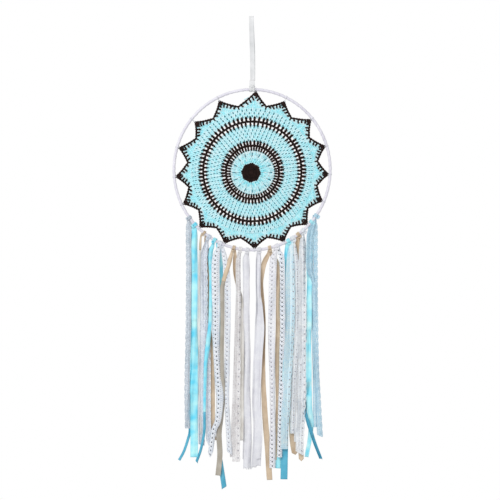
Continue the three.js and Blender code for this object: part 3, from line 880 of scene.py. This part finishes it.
class Tail:
    """One hanging end of a ribbon: where each place across and along it lies.

    rows are (x, z, how wide it looks, how far it stands back from its own depth) from the knot down.
    A ribbon that looks narrower than it is has curled up lengthwise. sway turns it from side to side,
    flute waves its surface, and slant, point and frayed shape its cut end. A mirrored tail has its
    right edge on the left.
    """

    OPENING, ENDING = 24.0, 26.0  # lengths that spread out below the knot, and that follow the end's cut

    def __init__(self, rows, width, depth, sway=0.25, slant=0.0, point=0.0, frayed=0.0, flute=0.3,
                 mirrored=False):
        rows = np.array([(x, (more or [0])[0], z, min(looks, width)) for x, z, looks, *more in rows], float)
        path = smooth_path(rows, 2.0)
        centre = path[:, :3]
        run = lengths(centre)
        centre[:, 1] += depth * ease(run / 40) + 0.4 * np.sin(run / 47 + depth) * ease(run / 60)
        self.run = lengths(centre)
        self.length = self.run[-1]
        self.width, self.slant, self.point, self.frayed = width, slant, point, frayed
        ahead = directions(centre)
        phase, period = dice.uniform(0, TAU), dice.uniform(95, 150)
        turn = sway * np.sin(self.run / period * TAU + phase) + 0.4 * sway * np.sin(self.run / 41 + 2 * phase)
        turn = (turn * ease(self.run / 50))[:, None]
        across = np.array([1.0, 0, 0]) * np.cos(turn) + BACK * np.sin(turn)
        across = unit(across - ahead * np.sum(across * ahead, 1, keepdims=True))
        normal = np.cross(across, ahead)
        opening = 0.5 + 0.5 * ease(self.run / self.OPENING)
        half_curl = np.interp(-path[:, 3] / width, -CURL_CHORD, CURL_HALF)
        self.table = np.column_stack([centre, across, normal, half_curl * 2, opening])
        self.bow = dice.choice((-1, 1))
        self.flutes, self.flute = dice.uniform(0, TAU), flute
        self.side = -1 if mirrored else 1
        self.threads = [dice.uniform(0, 1) for _ in range(FRAY_THREADS)]

    def at(self, share, run, lift):
        """Points at a share across (-0.5 to 0.5), a distance down, and a height off the cloth."""
        share = share * self.side
        down = run + ease((run - self.length + self.ENDING) / self.ENDING) * self.end(share)
        row = np.stack([np.interp(down, self.run, column) for column in self.table.T], 1)
        beyond = np.maximum(down - self.length, 0)[:, None]
        curl, opening = row[:, 9], row[:, 10]
        angle = share * curl
        wide = self.width / curl * np.sin(angle) * opening
        high = self.width / curl * (np.cos(angle) - (1 + np.cos(curl / 2)) / 2) * self.bow
        loose = (opening - 0.5) * 2
        high = high * ease(loose) + (1 - loose) * 0.65 * np.sin(share * 22)
        high = high + self.flute * np.sin(share * 7 + down / 26 + self.flutes) * ease(down / 30)
        tilt = np.cos(angle)[:, None] * row[:, 6:9] + (self.bow * np.sin(angle))[:, None] * row[:, 3:6]
        lift = np.asarray(lift * self.side).reshape(-1, 1)
        flat = row[:, :3] + row[:, 3:6] * wide[:, None]
        return flat + row[:, 6:9] * high[:, None] + tilt * lift - UP * beyond

    def end(self, share):
        """How much further down than its middle the cut end reaches, across the ribbon."""
        jag = np.interp(share, np.linspace(-0.5, 0.5, FRAY_THREADS), self.threads) * self.frayed
        return share * self.slant - np.abs(share) * 2 * self.point + jag


def thicken(shell, tail, share, run, faces, thickness):
    """A thin closed cloth from flat faces laid out on a tail."""
    count = len(share)
    near = tail.at(share, run, thickness / 2)
    far = tail.at(share, run, -thickness / 2)
    following = np.roll(faces, -1, 1)
    first, second = faces.ravel(), following.ravel()
    rim = ~np.isin(first * count + second, second * count + first)
    first, second = first[rim], second[rim]
    walls = np.stack([second, first, first + count, second + count], 1)
    flat = np.stack([share * 10, run], 1)
    both = np.vstack([flat, flat])
    patches = [faces, faces[:, ::-1] + count, walls]
    shell.add(np.vstack([near, far]), patches, [both[patch] for patch in patches])


def plain_cloth(shell, tail, front, back, back_or_shade_from):
    """Plain ribbon. Past a share of its length it has turned over and shows its back, on some ribbons painted
    darker as shade.
    """
    columns, rows = 10, int(tail.length / 2.5)
    share = np.tile(np.linspace(-0.5, 0.5, columns + 1), rows + 1)
    run = np.repeat(np.linspace(0, tail.length, rows + 1), columns + 1)
    i, j = np.meshgrid(np.arange(rows), np.arange(columns), indexing="ij")
    corner = (i * (columns + 1) + j).ravel()
    faces = np.stack([corner, corner + 1, corner + columns + 2, corner + columns + 1], 1)
    front_rows = int(back_or_shade_from * rows)
    shell.finish = front
    thicken(shell, tail, share, run, faces[:front_rows * columns], CLOTH)
    if front_rows < rows:
        first = front_rows * (columns + 1)
        shell.finish = back
        thicken(shell, tail, share[first:], run[first:], faces[front_rows * columns:] - first, CLOTH)


def polygon(across, along, wide, tall, corners):
    turn = np.arange(corners) / corners * TAU + 0.3
    return np.column_stack([across + wide * np.cos(turn), along + tall * np.sin(turn)])


def inside(places, outline):
    """Which places lie inside a closed outline."""
    x, y = places[:, 0, None], places[:, 1, None]
    x0, y0 = outline.T
    x1, y1 = np.roll(outline, -1, 0).T
    straddles = (y0 > y) != (y1 > y)
    crossing = x0 + (y - y0) / np.where(y1 == y0, 1e-9, y1 - y0) * (x1 - x0)
    return (straddles & (x < crossing)).sum(1) % 2 == 1


def scallops(share, bumps, depth, sharpness):
    """How far a lace's edge stands in from the tops of its bumps, at a share of the repeat."""
    return depth * (1 - abs(math.sin(share * math.pi * bumps)) ** sharpness)


def lace_repeat(pitch, width, left, right, holes):
    """One repeat of a lace: its points (mm across and along), its triangles, and its two seams."""
    along = np.linspace(0, pitch, 13)
    low_side = np.column_stack([[scallops(b / pitch, *left) - width / 2 for b in along], along])
    high_side = np.column_stack([[width / 2 - scallops(b / pitch, *right) for b in along], along])
    seam = np.linspace(low_side[0, 0], high_side[0, 0], 7)[1:-1]
    bottom = np.column_stack([seam, np.zeros(5)])
    top = np.column_stack([seam, np.full(5, pitch)])
    loops = [np.vstack([bottom, high_side, top[::-1], low_side[::-1]])] + holes
    edges = []
    first = 0
    for loop in loops:
        edges += [(first + k, first + (k + 1) % len(loop)) for k in range(len(loop))]
        first += len(loop)
    made = delaunay_2d_cdt([Vector(p) for p in np.vstack(loops)], edges, [], 0, 1e-5)
    places = np.array([tuple(p) for p in made[0]])
    faces = np.array([face for face in made[2] if len(face) == 3])
    middles = places[faces].mean(1)
    kept = inside(middles, loops[0])
    for hole in holes:
        kept &= ~inside(middles, hole)
    faces = faces[kept]
    sides = places[faces][:, 1:] - places[faces][:, :1]
    turned = sides[:, 0, 0] * sides[:, 1, 1] - sides[:, 0, 1] * sides[:, 1, 0] < 0
    faces[turned] = faces[turned][:, ::-1]
    low = np.flatnonzero(np.abs(places[:, 1]) < 1e-4)
    high = np.flatnonzero(np.abs(places[:, 1] - pitch) < 1e-4)
    return places, faces, low[np.argsort(places[low, 0])], high[np.argsort(places[high, 0])]


def small_holes(places, pitch, width):
    """Round holes at (mm in from the scalloped edge, share along, radius)."""
    return [polygon(width / 2 - inwards, pitch * share, radius * 0.9, radius * 1.1, 6)
            for inwards, share, radius in places]


def net(pitch, width, across):
    """Rows of fine holes over the part of a lace that is this wide, from its straight edge."""
    mesh, rows = 1.5, 7
    holes = []
    for column in range(max(1, int(across / mesh))):
        start = 0.36 if column % 2 else 0.64
        holes += [polygon(0.95 - width / 2 + column * mesh, (row + start) / rows * pitch, 0.44, 0.5, 6)
                  for row in range(rows)]
    return holes


def scalloped_lace(width, dots=True):
    """A net of fine holes, a row of big stitched ones closed by painted shade discs if dots is set, and one
    scalloped edge.
    """
    pitch = 11.5
    filled = [(width / 2 - 3.1, pitch / 2, 1.35, 1.35)] if dots else []
    holes = [polygon(*dot, DOT_SIDES) for dot in filled]
    holes += small_holes([(1.4, 0.5 + place, 0.44) for place in (-0.22, -0.07, 0.07, 0.22)], pitch, width)
    holes += small_holes([(3.1, place, 0.5) for place in (0.06, 0.22, 0.78, 0.94)], pitch, width)
    holes += net(pitch, width, width - 5.7)
    return pitch, lace_repeat(pitch, width, (6, 0.12, 1), (1, 1.3, 0.6), holes), filled


def netted_lace(width):
    return scalloped_lace(width, dots=False)


def eyelet_lace(width, dotted=False):
    """A row of bold eyelets, a fainter row beside it, all closed by discs of painted shade, fine holes and
    two lightly scalloped edges.
    """
    pitch = 6.8
    filled = [(-0.08 * width, pitch * 0.5, 1.3, 1.4), (-0.34 * width, pitch * 0.22, 0.8, 0.7)]
    if dotted:
        filled += [(0.2 * width, pitch * share, 0.65, 0.6) for share in (0.25, 0.75)]
    holes = [polygon(*dot, DOT_SIDES) for dot in filled]
    holes += small_holes([(1.3, share, 0.4) for share in (0.125, 0.375, 0.625, 0.875)], pitch, width)
    if width > 9 and not dotted:
        holes += small_holes([(place, share, 0.42) for place in (2.8, 4.1) for share in (0.2, 0.5, 0.8)],
                             pitch, width)
    edge = (2, 0.5, 0.7)
    return pitch, lace_repeat(pitch, width, edge, edge, holes), filled


def dotted_lace(width):
    return eyelet_lace(width, dotted=True)


def lace_cloth(shell, tail, pattern, finish, shade_disc_finish, darker_shade_from):
    """Lace with its open holes, and its big eyelets with raised rims round them, closed by discs of painted
    shade.

    Past a share of its length the discs take the darker of the two painted shade materials.
    """
    pitch, (places, faces, low, high), filled = pattern(tail.width)
    repeats = max(2, round(tail.length / pitch))
    count = len(places)
    number = np.repeat(np.arange(repeats), count)
    share = np.tile(places[:, 0] / tail.width, repeats)
    run = (number + np.tile(places[:, 1] / pitch, repeats)) * tail.length / repeats
    merged = np.arange(repeats * count)
    for repeat in range(1, repeats):
        merged[repeat * count + low] = (repeat - 1) * count + high
    all_faces = merged[(faces[None] + (np.arange(repeats) * count)[:, None, None]).reshape(-1, 3)]
    used, all_faces = np.unique(all_faces, return_inverse=True)
    shell.finish = finish
    thicken(shell, tail, share[used], run[used], all_faces.reshape(-1, 3), LACE)
    fan = np.array([(DOT_SIDES, k, (k + 1) % DOT_SIDES) for k in range(DOT_SIDES)])
    for across, along, wide, tall in filled:
        rim = polygon(across, along, wide, tall, DOT_SIDES)
        disc_share = np.append(rim[:, 0], across) / tail.width
        for repeat in range(repeats):
            rim_run = (repeat + rim[:, 1] / pitch) * tail.length / repeats
            shell.finish = finish
            raised = tail.at(rim[:, 0] / tail.width, rim_run, np.full(DOT_SIDES, 0.12))
            tube(shell, raised, 0.3, 5, closed=True)
            # painted shade in the eyelets: grey discs, and dark ones past a share of the length
            shell.finish = shade_disc_finish + (repeat >= darker_shade_from * repeats)
            disc_run = np.append(rim_run, (repeat + along / pitch) * tail.length / repeats)
            thicken(shell, tail, disc_share, disc_run, fan, 0.12)


PATTERNS = {"scallop": scalloped_lace, "net": netted_lace, "eyelet": eyelet_lace, "dotted": dotted_lace}


def streamer(name, cloths, pattern, place, width, tails):
    """A ribbon looped on the ring at an angle in degrees from straight down: its fold and its two tails.

    Each tail is its rows, its depth, and what sets it apart: its own "wide", "pattern" or "cloth" (a number
    in cloths), where along it "darker_shade_from" the painted shade in its eyelets darkens, where
    "back_or_shade_from" the cloth numbered "back" shows (its back, on some ribbons painted darker as shade),
    and how it hangs, as Tail says.
    """
    angle = math.radians(place)
    centre = np.array([RING_X * math.sin(angle), 0, RING_CENTRE - RING_Z * math.cos(angle)])
    tangent = unit(np.array([RING_X * math.cos(angle), 0, RING_Z * math.sin(angle)]))
    start = centre + np.cross(tangent, BACK) * 3.2
    shell = Shell()
    lark_head(shell, centre, tangent, min(width * 0.52, 5.4), 0.95)
    total, area = 0.0, 0.0
    for rows, depth, options in tails:
        usual = {"wide": width, "pattern": pattern, "cloth": 0, "darker_shade_from": 1.0, "back": 1, "back_or_shade_from": 1.0}
        looks = {key: options.get(key, value) for key, value in usual.items()}
        hanging = {key: value for key, value in options.items() if key not in usual}
        wide = looks["wide"]
        top = (start[0] * 0.6 + rows[0][0] * 0.4, start[2] - 0.5, wide * 0.6)
        tail = Tail([top] + rows, wide, depth, **hanging)
        total += tail.length
        area += tail.length * wide
        if looks["pattern"]:
            made = PATTERNS[looks["pattern"]]
            lace_cloth(shell, tail, made, looks["cloth"], len(cloths) - 2, looks["darker_shade_from"])
        else:
            plain_cloth(shell, tail, looks["cloth"], looks["back"], looks["back_or_shade_from"])
    piece = shell.build(f"{name}_cloth", *cloths)
    place_piece(piece, name, name)


def lace(name, place, width, tails, cloths, pattern="scallop"):
    # the two last cloths are the painted shade discs in the big eyelets
    streamer(name, cloths + [EYELET_GREY_SHADE, EYELET_DARK_SHADE], pattern, place, width, tails)


def turquoise(name, place, width, tails, front=BLUE_SATIN):
    # its second cloth, the back, is a darker copy: painted shade
    streamer(name, [front, TURQUOISE_BACK_SHADED], None, place, width, tails)


def tan(name, place, width, tails):
    # the third cloth is a darker copy of the tan: painted shade
    streamer(name, [TAN_SATIN, PALE_SATIN, SHADED_TAN_SATIN], None, place, width, tails)


def chiffon(name, place, width, tails):
    streamer(name, [CHIFFON], None, place, width, tails)


# ---- The whole dream catcher ----
hanger_knot()
hanger()
wrapped_hoop()
rosette()
inner_turquoise()
dark_band("crochet_inner_dark_band", INNER_BLUE, INNER_DARK, *INNER_BAND)
middle_turquoise()
dark_band("crochet_outer_dark_band", MIDDLE_BLUE, OUTER_DARK, *OUTER_BAND)
fans()
edging()
for tie in range(POINTS):
    lacing_tie(tie)
steel_core()

# The streamers, from left to right.
lace("lace_streamer_1", -53.5, 9, [
    ([(-100, -325, 8.5), (-99.5, -400, 8.5), (-100.5, -500, 8.5), (-102, -580, 8.5), (-101.5, -647, 8.5)],
      -1, {"mirrored": True}),
    ([(-97, -325, 8), (-96.5, -400, 8), (-98, -500, 8), (-99, -580, 8), (-98.5, -634, 8)], 1.5, {}),
], [GREY_LACE], pattern="net")
turquoise("turquoise_streamer_1", -46.9, 10, [
    ([(-90, -336, 9.4), (-90, -395, 9.4, -1), (-90.1, -405, 9.4, 1), (-90.2, -470, 9.6, -1.2),
      (-90.3, -482, 9.6, 1.2), (-90.4, -540, 10.4, -1.5), (-90.6, -552, 10.8, 1.2), (-91, -590, 12, -1),
      (-91, -604, 12, 1), (-91, -692, 12)], -2.5, {"sway": 0.2, "flute": 0.9, "wide": 12}),
    ([(-92, -338, 8), (-93, -480, 7), (-97, -540, 6), (-98, -600, 4), (-97.6, -648, 3), (-100.4, -663, 2.6),
      (-107, -683, 2.6), (-114.6, -697, 2.6)], 1.4, {"flute": 0.6, "back_or_shade_from": 0.72}),
])
tan("tan_streamer_1", -38, 7, [
    ([(-81, -352, 3.5), (-82.4, -420, 3.8), (-82.6, -520, 3.8), (-82.5, -600, 4), (-81, -655, 4)],
      0.8, {"back_or_shade_from": 0.1}),
    ([(-73, -352, 5), (-70, -375, 5), (-69, -450, 5), (-66, -500, 6.5), (-62.5, -540, 6.5),
      (-61.4, -640, 6.5), (-59, -666, 6.5)], 3, {}),
])
lace("lace_streamer_2", -33.5, 11.5, [
    ([(-72, -357, 7), (-75.5, -378, 10), (-75.4, -430, 12.5), (-76, -500, 12.5), (-78.5, -580, 11),
      (-79.5, -673, 10)], -0.8, {"slant": 4, "wide": 12.5}),
    ([(-71, -357, 7), (-75, -400, 8.5), (-73, -480, 8.5), (-69.5, -520, 8.5), (-69, -600, 8.5),
      (-68, -675, 8)], 0.3, {"point": 9, "wide": 9}),
], [DUSK_LACE], pattern="net")
turquoise("turquoise_streamer_2", -28.9, 9, [
    ([(-62, -361, 7), (-66, -374, 8), (-65, -415, 4.5, -3), (-65.4, -460, 4.5, -8), (-66.4, -485, 5.5, -9),
      (-68.8, -506, 6.8, -9), (-70.4, -526, 6.8, -9), (-72.3, -545, 5.6, -9), (-73.2, -565, 5, -9),
      (-74.2, -592, 3.6, -8), (-74.6, -625, 3, -8), (-74.8, -650, 3, -7), (-77, -664, 3, -5),
      (-81.2, -682, 3.2, -4), (-87.4, -699, 3.2, -3)], 3, {"slant": 6, "flute": 0.4, "back_or_shade_from": 0.78}),
    ([(-54, -361, 7), (-50, -376, 8), (-49.5, -407, 8), (-50, -500, 8), (-51, -600, 7), (-51, -680, 7),
      (-48.8, -706, 7.5), (-44, -741, 8)], 4.2, {"slant": -4, "back_or_shade_from": 0.5}),
])
lace("lace_streamer_3", -24.2, 13.5, [
    ([(-53, -366, 9), (-57, -386, 13), (-56.5, -450, 13.5), (-56.5, -500, 11.5), (-55, -530, 11.5),
      (-52, -580, 12), (-51, -603, 12), (-54, -634, 10), (-60, -651, 8), (-66, -692, 7)],
      -4, {"point": 12, "slant": -8, "flute": 0.5, "darker_shade_from": 0.0, "pattern": "dotted"}),
    ([(-46, -366, 7), (-41.5, -388, 9), (-38.5, -420, 10), (-38.5, -500, 9), (-39.5, -565, 8),
      (-39.8, -603, 7), (-37, -650, 8), (-35, -686, 8)], -3.4, {"slant": 8, "wide": 10}),
], [WHITE_LACE], pattern="eyelet")
tan("tan_streamer_2", -13.5, 8.5, [
    # Past a share of its length its first tail turns to the darker tan: painted shade, as it hangs behind the
    # others.
    ([(-32, -372, 6), (-38, -393, 7), (-45, -419, 6.5), (-46.8, -440, 6.5), (-46.8, -556, 6),
      (-45, -587, 6, 4), (-49, -630, 8, 5), (-52, -656, 8.5, 5), (-50.5, -688, 8.5, 5),
      (-53.5, -721, 8.5, 5)], -5.2, {"back_or_shade_from": 0.16, "back": 2}),
    ([(-27, -373, 6), (-26.5, -400, 6), (-22, -425, 5), (-16.2, -450, 5), (-15.6, -520, 5.4),
      (-16, -600, 5), (-16.2, -666, 4.6)], -1.2, {"back_or_shade_from": 0.24}),
])
lace("lace_streamer_4", -8.6, 10, [
    ([(-20, -375, 6), (-21.8, -388, 7.5), (-21.4, -446, 7.5), (-22.4, -500, 9), (-23.4, -556, 11.6),
      (-24.6, -603, 12.4), (-25, -699, 12.4)], -3, {"wide": 12.5}),
    ([(-21, -375, 6), (-22.4, -388, 7), (-22, -446, 7), (-24.5, -524, 8), (-26.5, -603, 9), (-31, -692, 9)],
      -1.5, {}),
], [ROSE_LACE])
chiffon("chiffon_streamer_1", -3.6, 13, [
    ([(-9, -376, 9), (-9.8, -392, 10.5), (-8, -525, 10), (-7.8, -603, 10.8), (-7, -650, 12),
      (-7.4, -708, 12.5)], -0.5, {"frayed": 5, "flute": 0.6}),
    ([(-8, -376, 9), (-9, -392, 10), (-8.6, -525, 9.6), (-8.4, -603, 10), (-8, -650, 11), (-9.4, -694, 11)],
      1.5, {"frayed": 5}),
])
chiffon("chiffon_streamer_2", 5.2, 16, [
    ([(9.8, -378, 7), (9.3, -430, 6.8), (9.8, -446, 8.4), (11.2, -475, 13.6), (11.6, -500, 14.8),
      (7.7, -564, 13.5), (6.4, -603, 13), (9.1, -647, 14), (6.1, -705, 15.5)],
      -3.5, {"frayed": 3, "slant": -5, "flute": 0.6}),
    ([(11, -378, 7), (9.6, -436, 6), (11.4, -454, 11), (11.8, -485, 11), (10.6, -530, 10.6), (9, -575, 11),
      (8, -610, 12), (9, -647, 12), (7, -694, 13)], -2.6, {"frayed": 3, "wide": 13}),
])
tan("tan_streamer_3", 13, 9, [
    ([(26, -372, 7), (18.7, -388, 8), (14, -412, 8), (15.6, -430, 4.6), (17.3, -451, 4.5),
      (18.6, -480, 4.5), (18.4, -530, 5), (17.8, -556, 6), (17.6, -577, 7), (18.9, -603, 8), (21, -637, 9),
      (23.4, -667, 9), (27.5, -728, 9)], -0.4, {}),
    ([(30, -373, 7), (39, -388, 7.5), (42, -410, 8), (41.4, -470, 8), (40.2, -524, 8), (40.7, -600, 8),
      (40.5, -650, 8), (39, -697, 8)], 3, {}),
])
lace("lace_streamer_5", 18.5, 12, [
    ([(36, -370, 9), (33, -388, 11.5), (31.4, -446, 12), (30.6, -485, 12), (30.4, -524, 10.5),
      (31.8, -570, 8), (32, -630, 8), (32, -670, 9.6), (32.3, -709, 10)], -3, {"darker_shade_from": 0.84}),
    ([(43, -370, 8), (47.2, -388, 8.8), (47.8, -480, 8.8), (47, -530, 8.8, 1), (46.5, -570, 8.8, 2.4),
      (45, -620, 8.8, 2.4), (43, -692, 7.6)],
      -4, {"wide": 8.8, "cloth": 1, "darker_shade_from": 0.0, "pattern": "dotted"}),
], [LILAC_LACE, WHITE_LACE], pattern="eyelet")
turquoise("turquoise_streamer_3", 27.6, 11, [
    ([(55.5, -363, 8), (55.2, -380, 8.6), (55.2, -446, 8.6), (54, -524, 10), (52.4, -603, 11),
      (50, -727, 11)], -0.5, {"sway": 0.15, "back_or_shade_from": 0.82}),
    ([(54.5, -363, 7), (53, -420, 9), (50, -520, 9), (46, -620, 9), (42, -680, 9), (40.5, -710, 9)], 3, {}),
])
lace("lace_streamer_6", 31.6, 11, [
    ([(62, -358, 9), (60.5, -388, 13), (60, -430, 15.5), (59.6, -470, 15.5), (57.5, -530, 15),
      (54.6, -570, 14.2, -1.4), (53.2, -610, 14, -1.4), (51.5, -650, 12, -1.4), (51, -679, 11, -1)],
      -2.4, {"cloth": 1, "wide": 15.5}),
    ([(66, -358, 6), (70, -400, 7), (70.2, -480, 7), (68.5, -530, 8), (65, -580, 8), (63, -655, 8)],
      -1.4, {"wide": 9}),
], [SILVER_LACE, BLUE_LACE])
tan("tan_streamer_4", 36.2, 10, [
    ([(71.5, -353, 8), (72, -378, 9.5), (70, -430, 10), (67, -520, 10), (63.5, -630, 10), (64, -665, 10),
      (68, -689, 10)], 2.6, {"point": 4}),
    ([(74, -353, 7), (75, -378, 8), (75, -450, 8), (72, -540, 8), (74, -620, 8), (77.4, -699, 8)],
      2.2, {"point": 4, "wide": 8}),
])
lace("lace_streamer_7", 40.8, 13, [
    ([(78.5, -350, 7), (78, -372, 10), (78.6, -420, 12.6), (79, -520, 13), (78.6, -600, 13),
      (75.6, -650, 13), (74.4, -686, 13.5)], -3, {"slant": 7}),
    ([(80, -350, 7), (79.5, -372, 10), (77, -450, 11), (74, -540, 12), (72, -600, 12), (71.4, -668, 11.5)],
      -1.8, {"wide": 12}),
], [SILVER_LACE])
turquoise("turquoise_streamer_4", 49.4, 9.4, [
    ([(91, -333, 8), (90, -370, 9), (89.6, -430, 8.5), (89.4, -485, 8.5, -1.5), (88, -497, 8, 2.2),
      (88.6, -530, 8.5, -1), (89.2, -566, 8.8, -2.4), (89.3, -580, 8.8, 2.4), (89.8, -610, 9),
      (92.5, -640, 8, 1.5), (90.5, -665, 7, 1.5), (85.6, -692, 6, 1)], -1.5, {"sway": 0.35, "flute": 0.8}),
    ([(93, -333, 8), (92, -370, 8), (90, -430, 8), (88.5, -530, 7), (86, -590, 4), (83.8, -614, 3, -1.5),
      (84.8, -626, 4, -4.2), (88.6, -640, 5, -4.8), (93.2, -653, 5, -4.6), (98.6, -670, 4.6, -3),
      (108, -695, 4, -1)], 1.6, {"slant": 4, "back_or_shade_from": 0.72}),
], PALE_BLUE_SATIN)
lace("lace_streamer_8", 55, 12.5, [
    ([(98.5, -326, 9), (98.5, -380, 9.5), (98.8, -446, 9.5), (99.9, -525, 9.5), (102.7, -590, 9),
      (106.6, -659, 9)], -2.4, {"slant": 5, "wide": 9.5}),
    ([(96.5, -325, 9, -1), (91.6, -345, 12, -2), (90.2, -385, 12, -2.6), (91.5, -402, 9.5, -2),
      (96.8, -424, 7, 0.5), (97.5, -500, 6.5, 2), (98.5, -580, 6, 2), (99.5, -645, 5.5, 2)], -1.6, {}),
], [SKY_LACE], pattern="net")


# ---- Camera, light and stage ----
def studio():
    """Soft light from all round, on a white background."""
    world = bpy.data.worlds.new("studio")
    bpy.context.scene.world = world
    world.use_nodes = True
    tree = world.node_tree
    soft = tree.nodes["Background"]
    soft.inputs[0].default_value = (0.97, 0.98, 1.0, 1)
    soft.inputs[1].default_value = 0.66
    seen = tree.nodes.new("ShaderNodeBackground")
    seen.inputs[0].default_value = (1.0, 1.0, 1.0, 1)
    ray = tree.nodes.new("ShaderNodeLightPath")
    mix = tree.nodes.new("ShaderNodeMixShader")
    tree.links.new(ray.outputs["Is Camera Ray"], mix.inputs[0])
    tree.links.new(soft.outputs[0], mix.inputs[1])
    tree.links.new(seen.outputs[0], mix.inputs[2])
    tree.links.new(mix.outputs[0], tree.nodes["World Output"].inputs[0])
    bpy.context.scene.view_settings.view_transform = "Standard"


def place_item(name, data, place):
    item = bpy.data.objects.new(name, data)
    item.location = place
    bpy.context.scene.collection.objects.link(item)
    return item


def pale_floor(radius=1.5, height=-1.05):
    mesh = bpy.data.meshes.new("floor")
    turn = np.arange(48) / 48 * TAU
    rim = [(radius * math.cos(a), radius * math.sin(a), height) for a in turn]
    mesh.from_pydata(rim, [], [list(range(48))])
    made = Nodes("floor_paint", (0.86, 0.86, 0.87), 0.95)
    made.shade(made.noise(3, 2), (0.85, 0.85, 0.86), (0.88, 0.88, 0.89))
    mesh.materials.append(made.material)
    place_item("floor", mesh, (0, 0, 0))


def key_light(place=(-1.0, -2.0, 0.9), target=(0, 0, -0.35)):
    light = bpy.data.lights.new("key", "AREA")
    light.size = 0.8
    light.energy = 28
    item = place_item("key", light, place)
    item.rotation_euler = (Vector(target) - Vector(place)).to_track_quat("-Z", "Y").to_euler()


def front_camera(distance=2.9):
    lens = bpy.data.cameras.new("camera")
    lens.sensor_width = 36
    lens.lens = lens.sensor_width * distance / (VIEW_WIDTH * MM)
    camera = place_item("camera", lens, (VIEW_CENTRE[0] * MM, -distance, VIEW_CENTRE[1] * MM))
    camera.rotation_euler = (math.radians(90), 0, 0)
    bpy.context.scene.camera = camera


studio()
pale_floor()
key_light()
front_camera()
